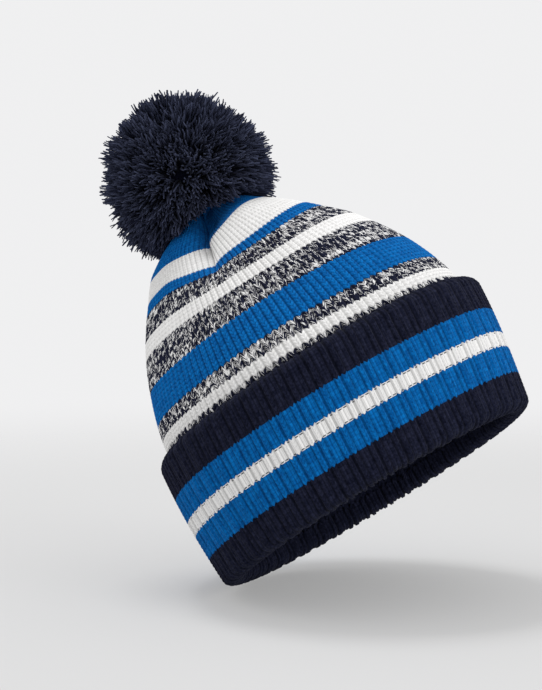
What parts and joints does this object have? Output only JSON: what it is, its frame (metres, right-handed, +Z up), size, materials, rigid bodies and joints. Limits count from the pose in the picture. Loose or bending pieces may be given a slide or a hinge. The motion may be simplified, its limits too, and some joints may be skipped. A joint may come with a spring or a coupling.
{
  "type": "pom pom beanie",
  "caption": "Chunky knitted winter hat with a turned-up striped cuff, marled stripes on the body and a large yarn pom pom.",
  "frame": {"origin": "middle of the rim, on the plane that the turned-up cuff stands on", "axes": "+Z up along the hat's axis to the pom pom, -Y to the front dart of the crown, +Y to the back seam"},
  "size_m": [0.2014, 0.2014, 0.251],
  "materials": {
    "navy_yarn": "matt acrylic knit, dark navy",
    "blue_yarn": "matt acrylic knit, royal blue",
    "white_yarn": "matt acrylic knit, off-white",
    "marl_yarn": "matt acrylic knit of one navy and one white strand, flecked",
    "pom_yarn": "cut acrylic yarn, dark navy, matt and tufted",
    "sewing_thread": "navy thread and cord",
    "label_fabric": "smooth woven satin, off-white, blank"
  },
  "bodies": {
    "hat": {"cuff_band_navy_lower": "navy_yarn", "cuff_band_blue_lower": "blue_yarn", "cuff_band_white": "white_yarn", "cuff_band_blue_upper": "blue_yarn", "cuff_band_navy_upper": "navy_yarn", "cuff_inner_ply": "navy_yarn", "body_under_cuff": "navy_yarn", "body_row_flecked": "marl_yarn", "body_band_white_lower": "white_yarn", "body_band_marl_lower": "marl_yarn", "body_band_blue_wide": "blue_yarn", "body_band_marl_middle": "marl_yarn", "body_band_white_middle": "white_yarn", "body_band_marl_upper": "marl_yarn", "body_band_blue_narrow": "blue_yarn", "body_band_white_upper": "white_yarn", "crown_cap_blue": "blue_yarn", "inner_layer": "navy_yarn", "dart_seam_1": "sewing_thread", "dart_seam_2": "sewing_thread", "dart_seam_3": "sewing_thread", "dart_seam_4": "sewing_thread", "back_seam": "sewing_thread", "crown_gather_thread": "sewing_thread", "care_label": "label_fabric"},
    "tie": {"tie_cord_lower": "sewing_thread", "tie_knot": "sewing_thread"},
    "swivel": {"tie_cord_upper": "sewing_thread"},
    "pom_pom": {"pom_core_binding": "sewing_thread", "pom_upper_tufts": "pom_yarn", "pom_middle_tufts": "pom_yarn", "pom_skirt_tufts": "pom_yarn"}
  },
  "joints": [
    {"name": "pom_twist", "type": "hinge", "parent": "hat", "child": "tie", "pos_m": [0, 0, 0.188], "axis": [0, 0, 1], "range_deg": [-45, 45], "stiffness_Nm_per_rad": 0.02},
    {"name": "pom_nod", "type": "hinge", "parent": "tie", "child": "swivel", "pos_m": [0, 0, 0.188], "axis": [1, 0, 0], "range_deg": [-15, 15], "stiffness_Nm_per_rad": 0.15, "deforming": ["pom_skirt_tufts"]},
    {"name": "pom_sway", "type": "hinge", "parent": "swivel", "child": "pom_pom", "pos_m": [0, 0, 0.188], "axis": [0, 1, 0], "range_deg": [-15, 15], "stiffness_Nm_per_rad": 0.15, "deforming": ["pom_skirt_tufts"]}
  ]
}
